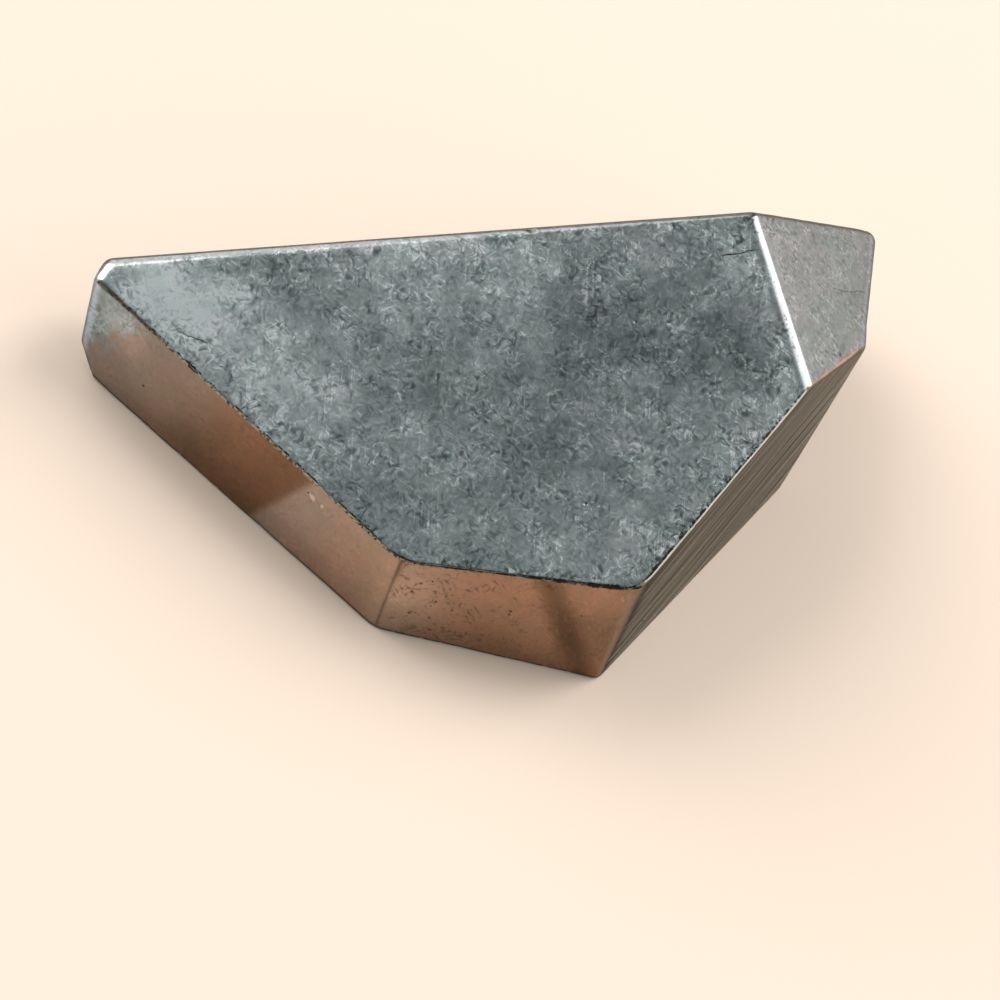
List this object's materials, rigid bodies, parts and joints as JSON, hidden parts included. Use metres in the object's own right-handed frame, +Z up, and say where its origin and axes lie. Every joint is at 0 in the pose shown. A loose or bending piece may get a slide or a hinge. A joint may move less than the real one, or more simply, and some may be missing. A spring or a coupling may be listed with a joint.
{
  "type": "polished shungite stone",
  "caption": "Palm-sized freeform of polished shungite, a solid convex stone with flat facets and rounded edges that rests on its base facet.",
  "frame": {"origin": "bottom centre of the stone's bounding box, on the plane of its base facet", "axes": "+Z up from the base facet, +X along the stone's longest side towards its blunt right end, +Y towards the back facets"},
  "size_m": [0.0752, 0.0398, 0.0232],
  "materials": {
    "shungite": "satin-polished dark blue-grey carbon-rich stone with a dull metallic lustre"
  },
  "bodies": {
    "root": {"stone": "shungite"}
  },
  "joints": []
}
